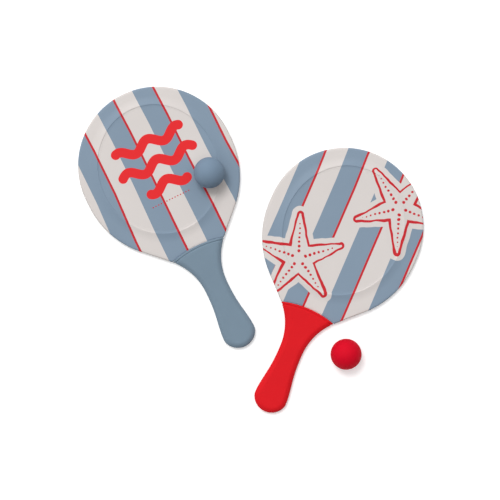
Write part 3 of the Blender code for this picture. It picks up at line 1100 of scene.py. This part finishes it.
# %% The printed plastic material
OFF_WHITE = (0.690, 0.645, 0.622)
GREY_BLUE = (0.228, 0.304, 0.393)
LINE_RED = (0.560, 0.020, 0.030)
BARE_RIM_HALF = 0.0011
PLASTIC_TONE = {"middle": 1.0, "spread": 0.05, "size": 0.03, "detail": 3.0}
PLASTIC_ROUGHNESS = {"middle": 0.47, "spread": 0.08, "size": 0.008}
INK_SMOOTHNESS = 0.05
PLASTIC_GRAIN = {"size": 0.0007, "depth": 0.00002}
PLASTIC_SWELL = {"size": 0.012, "depth": 0.00006}
PLASTIC_SPECULAR = 0.14


def printed_plastic(name, matrix, figures, stripes):
    """Satin plastic with stripes, and over them the figures that the given function draws."""
    material, tree, shader = principled(name)
    (x, y, z), vector = surface_place(tree, matrix)
    blue, red = stripe_masks(x, y, **stripes)
    colour = inked(tree, OFF_WHITE, GREY_BLUE, blue)
    colour = inked(tree, colour, LINE_RED, red)
    upper_face = z.math("GREATER_THAN", 0.0)
    colour, ink = figures(tree, x, y, colour, blue.maximum(red), upper_face)
    bare = abs(z).below(BARE_RIM_HALF, INK_EDGE)
    colour = inked(tree, colour, OFF_WHITE, bare)
    tone_colour(tree, shader, colour, uneven(tree, vector, **PLASTIC_TONE))

    rough = uneven(tree, vector, **PLASTIC_ROUGHNESS) - ink * INK_SMOOTHNESS
    tree.links.new(rough.socket, shader.inputs["Roughness"])
    layers = []
    for layer in (PLASTIC_GRAIN, PLASTIC_SWELL):
        layers.append((noise(tree, vector, layer["size"], detail=1.0), layer["depth"]))
    add_bump(tree, shader, layers)
    shader.inputs["Specular IOR Level"].default_value = PLASTIC_SPECULAR
    return material


print("stripe inks:", GREY_BLUE, LINE_RED)

# %% [markdown]
# Each bat's figures are a small function: it takes the striped colour and returns it with the
# figures laid over, together with a mask of where there is ink. The waves come in three rows of
# different length, so the function is a loop over the rows.

# %% The blue bat's print
BLUE_BAT_STRIPES = {"line_x": -0.0123, "pitch": 0.0555, "blue_width": 0.0270, "spread": 0.045}
FIGURE_RED = (0.580, 0.018, 0.027)
WAVE_RED = (0.790, 0.018, 0.022)
WAVE_MIDDLE = (0.0030, 0.0020)
WAVE_PITCH = 0.0300
WAVE_ROWS = ((1, 0.0470), (0, 0.0520), (-1, 0.0270))
DOT_ROW_MIDDLE = (-0.0028, -0.0492)


def wave_print(tree, x, y, colour, ink, upper_face):
    """Rows of waves, given as a row number and half a length, with the row of dots under them."""
    waves = None
    for row, half_length in WAVE_ROWS:
        middle = (WAVE_MIDDLE[0], WAVE_MIDDLE[1] + row * WAVE_PITCH)
        mask = wave_mask(x, y, middle, half_length)
        waves = mask if waves is None else waves.maximum(mask)
    waves = waves * upper_face
    dots = dot_row_mask(x, y, DOT_ROW_MIDDLE) * upper_face
    colour = inked(tree, colour, FIGURE_RED, dots)
    return inked(tree, colour, WAVE_RED, waves), ink.maximum(waves)


blue_print = printed_plastic("blue_bat_print", blue_matrix, wave_print, BLUE_BAT_STRIPES)
dress(blue_blade, blue_print)

# %% [markdown]
# A hand never draws a straight line quite straight. So before the starfish are drawn, a slow noise
# pushes x and y about by a millimetre or so. The sizes of its blotches decide how the line wobbles:
# much smaller ones would make it tremble, and much larger ones would only move the whole starfish.

# %% The red bat's print
RED_BAT_STRIPES = {"line_x": -0.0087, "pitch": 0.0549, "blue_width": 0.0259, "spread": 0.008}
STARFISH = (
    {"centre": (-0.0401, -0.0634), "arm_length": 0.0620, "first_arm": math.radians(111.5)},
    {"centre": (0.0578, 0.0526), "arm_length": 0.0630, "first_arm": math.radians(146.0)},
)
DRAWING_SHAKE = 0.0030
SHAKE_SIZE_X = 0.017
SHAKE_SIZE_Y = 0.013
LINE_WEIGHT = {"middle": 0.5, "spread": 3.0, "size": 0.022, "detail": 0.0}


def starfish_print(tree, x, y, colour, ink, upper_face):
    """Two starfish, each drawn in red line on an off-white patch."""
    flat = tree.nodes.new("ShaderNodeCombineXYZ")
    tree.links.new(x.socket, flat.inputs["X"])
    tree.links.new(y.socket, flat.inputs["Y"])
    vector = flat.outputs["Vector"]
    shake_x = noise(tree, vector, SHAKE_SIZE_X, detail=1.0) - 0.5
    shake_y = noise(tree, vector, SHAKE_SIZE_Y, detail=1.0) - 0.5
    weight = uneven(tree, vector, **LINE_WEIGHT).between(0.0, 1.0)
    x = x + shake_x * DRAWING_SHAKE
    y = y + shake_y * DRAWING_SHAKE
    for star in STARFISH:
        drawing, patch = starfish_masks(x, y, weight, **star)
        drawing, patch = drawing * upper_face, patch * upper_face
        colour = inked(tree, colour, OFF_WHITE, patch)
        colour = inked(tree, colour, FIGURE_RED, drawing)
        ink = (ink - patch).maximum(drawing)
    return colour, ink


red_print = printed_plastic("red_bat_print", red_matrix, starfish_print, RED_BAT_STRIPES)
dress(red_blade, red_print)

# %% [markdown]
# ## Rubber
#
# The grips and the balls are rubber, dyed right through. Rubber scatters light at a broad angle and
# shows almost no reflection, so roughness is high. The grips have the fine matt grain of their
# mould, and the balls a slightly coarser one. Colour wanders by a few per cent, as dye does.

# %% The rubber material
RUBBER_TONE = {"middle": 1.0, "spread": 0.08, "size": 0.02, "detail": 3.0}
RUBBER_ROUGHNESS_SPREAD = 0.1
RUBBER_ROUGHNESS_SIZE = 0.005
RUBBER_GRAIN_DEPTH = 0.00003
RUBBER_SPECULAR = 0.12


def rubber(name, colour, roughness, grain_size):
    """Matt rubber of one colour, uneven in tone and roughness, with a fine grain."""
    material, tree, shader = principled(name)
    vector = tree.nodes.new("ShaderNodeTexCoord").outputs["Object"]
    tone_colour(tree, shader, colour, uneven(tree, vector, **RUBBER_TONE))
    rough = uneven(tree, vector, roughness, RUBBER_ROUGHNESS_SPREAD, RUBBER_ROUGHNESS_SIZE)
    tree.links.new(rough.socket, shader.inputs["Roughness"])
    add_bump(tree, shader, [(noise(tree, vector, grain_size), RUBBER_GRAIN_DEPTH)])
    shader.inputs["Specular IOR Level"].default_value = RUBBER_SPECULAR
    return material


print("rubber reflects at a specular level of", RUBBER_SPECULAR)

# %% [markdown]
# Four pieces, four rubbers. The two blues and the two reds aren't quite the same: the blue ball is
# a little bluer than the blue grip, and the red ball is deeper than the red grip.

# %% The grips and the balls
GRIP_GRAIN = 0.0006
BALL_GRAIN = 0.0009

BLUE_GRIP = {"colour": (0.193, 0.266, 0.336), "roughness": 0.72, "grain_size": GRIP_GRAIN}
RED_GRIP = {"colour": (0.712, 0.009, 0.015), "roughness": 0.70, "grain_size": GRIP_GRAIN}
BLUE_BALL = {"colour": (0.188, 0.263, 0.354), "roughness": 0.74, "grain_size": BALL_GRAIN}
RED_BALL = {"colour": (0.665, 0.001, 0.017), "roughness": 0.72, "grain_size": BALL_GRAIN}

dress(blue_grip, rubber("blue_grip_rubber", **BLUE_GRIP))
dress(red_grip, rubber("red_grip_rubber", **RED_GRIP))
dress(blue_ball, rubber("blue_ball_rubber", **BLUE_BALL))
dress(red_ball, rubber("red_ball_rubber", **RED_BALL))

# %% [markdown]
# ## Floor and light
#
# The set lies on a white sweep. The floor receives the real shadow, and one big plane is enough for
# it. Seen by the camera or mirrored in gloss it glows a little, so that the ground away from the
# set is clean white, as in a cut-out catalogue shot. The glow is left out of the light that falls
# on the set, so it doesn't wash out the colours.

# %% The white floor
WHITE = (1.0, 1.0, 1.0, 1.0)
FLOOR_HALF = 12.0
FLOOR_WHITE = 0.93
FLOOR_ROUGHNESS = 0.9
FLOOR_LIFT = 0.30


def seen_directly(tree):
    """1 for rays from the camera and for what shines in gloss or glass, otherwise 0."""
    path = tree.nodes.new("ShaderNodeLightPath")
    camera = Field(tree, path.outputs["Is Camera Ray"])
    glossy = Field(tree, path.outputs["Is Glossy Ray"])
    through = Field(tree, path.outputs["Is Transmission Ray"])
    return camera.maximum(glossy).maximum(through)


def white_floor():
    """One big white plane at z = 0, which isn't part of the set."""
    corners = [(-FLOOR_HALF, -FLOOR_HALF, 0), (FLOOR_HALF, -FLOOR_HALF, 0)]
    corners += [(FLOOR_HALF, FLOOR_HALF, 0), (-FLOOR_HALF, FLOOR_HALF, 0)]
    data = bpy.data.meshes.new("white_floor")
    data.from_pydata(corners, [], [(0, 1, 2, 3)])
    floor = new_piece("white_floor", data)
    material, tree, shader = principled("white_sweep")
    shader.inputs["Base Color"].default_value = (FLOOR_WHITE, FLOOR_WHITE, FLOOR_WHITE, 1.0)
    shader.inputs["Roughness"].default_value = FLOOR_ROUGHNESS
    shader.inputs["Specular IOR Level"].default_value = 0.0
    shader.inputs["Emission Color"].default_value = WHITE
    lift = seen_directly(tree) * FLOOR_LIFT
    tree.links.new(lift.socket, shader.inputs["Emission Strength"])
    data.materials.append(material)
    floor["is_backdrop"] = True
    print("floor:", round(2 * FLOOR_HALF), "m across")


white_floor()

# %% [markdown]
# A studio's light comes mostly from overhead, so the sky here is bright at the top and dim at the
# horizon. That alone darkens whatever slopes, and it rounds the balls. The sky is also brighter on
# the far side, where a lamp will stand, so slopes that face that way are light and slopes that face
# away are dark. An even white sky would be simpler, but it would leave the cove and the crest hard
# to see. Only what the camera sees of the sky is plain white.

# %% The studio sky
SKY_HORIZON = 0.12
SKY_OVERHEAD = 1.00
SKY_SIDE = 1.30
LAMP_TOWARDS = Vector((-0.24, 0.44, 1.0)).normalized()


def studio_sky():
    """Light from all round, strongest from overhead and from the lamp's side."""
    world = bpy.data.worlds.new("studio_sky")
    world.use_nodes = True
    tree = world.node_tree
    background = tree.nodes["Background"]
    background.inputs["Color"].default_value = WHITE
    direction = tree.nodes.new("ShaderNodeTexCoord").outputs["Generated"]
    split = tree.nodes.new("ShaderNodeSeparateXYZ")
    tree.links.new(direction, split.inputs["Vector"])
    x, y, z = (Field(tree, split.outputs[axis]) for axis in "XYZ")
    side = x * LAMP_TOWARDS.x + y * LAMP_TOWARDS.y
    glow = (z * z * SKY_OVERHEAD + side * SKY_SIDE + SKY_HORIZON).maximum(0.0)
    level = glow + (-glow + 1.0) * seen_directly(tree)
    tree.links.new(level.socket, background.inputs["Strength"])
    bpy.context.scene.world = world
    print("sky: straight up it shines at", SKY_OVERHEAD + SKY_HORIZON)


studio_sky()

# %% [markdown]
# One wide lamp gives the shadows. A sun lamp lights everything from the same direction, and its
# angle sets how soft a shadow's edge is: half a degree is the real sun, and a good twenty degrees
# is a large soft box close by. The shadows fall towards us and a little to the right.

# %% The soft lamp
LAMP_STRENGTH = 1.25
LAMP_SPREAD = math.radians(22)


def soft_lamp():
    """A sun lamp so wide that its shadows have soft edges."""
    lamp = bpy.data.lights.new("soft_lamp", "SUN")
    lamp.energy = LAMP_STRENGTH
    lamp.angle = LAMP_SPREAD
    holder = bpy.data.objects.new("soft_lamp", lamp)
    bpy.context.scene.collection.objects.link(holder)
    holder.location = LAMP_TOWARDS
    holder.rotation_euler = (-LAMP_TOWARDS).to_track_quat("-Z", "Y").to_euler()
    off_overhead = LAMP_TOWARDS.angle(Vector((0, 0, 1)))
    print("lamp stands", round(math.degrees(off_overhead)), "degrees off overhead")


soft_lamp()

# %% [markdown]
# ## Camera
#
# The photograph looks straight down, and its perspective is so slight that circles stay circles. An
# orthographic camera would do, but a long lens far away gives the same picture and also works from
# any other side. One pixel of the photograph is a known length on the bats, which fixes the width
# of the view, and the middle of the picture is a known point between the bats.

# %% A long lens, straight down
CAMERA_HEIGHT = 3.0
SENSOR_WIDTH_IN_MM = 36.0
VIEW_END = 100.0
FRAME_PIXELS = 500
PIXEL_SIZE = 0.001352
BLUE_HEAD_PIXEL = (156.84, 165.40)

view_width = FRAME_PIXELS * PIXEL_SIZE
head = blue_matrix.translation
middle_x = head.x + (FRAME_PIXELS / 2 - BLUE_HEAD_PIXEL[0]) * PIXEL_SIZE
middle_y = head.y - (FRAME_PIXELS / 2 - BLUE_HEAD_PIXEL[1]) * PIXEL_SIZE
camera_data = bpy.data.cameras.new("camera")
camera_data.sensor_width = SENSOR_WIDTH_IN_MM
camera_data.lens = SENSOR_WIDTH_IN_MM * (CAMERA_HEIGHT - CREST_THICKNESS) / view_width
camera_data.clip_end = VIEW_END
camera = bpy.data.objects.new("camera", camera_data)
bpy.context.scene.collection.objects.link(camera)
camera.location = (middle_x, middle_y, CAMERA_HEIGHT)
bpy.context.scene.camera = camera
bpy.context.scene.view_settings.view_transform = "Standard"
print("lens", round(camera_data.lens, 1), "mm over", [mm(v) for v in camera.location[:2]])

# %% [markdown]
# ## Check the sizes
#
# The dressed set must fill the same box as the CAD solids. We print how far each corner of its box
# has moved from the CAD box.

# %% Sizes, and finish
scene_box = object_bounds()
for word, here, there in zip(("low", "high"), cad_box, scene_box):
    print(word, "corner moved by", [mm(b - a, 2) for a, b in zip(here, there)], "mm")
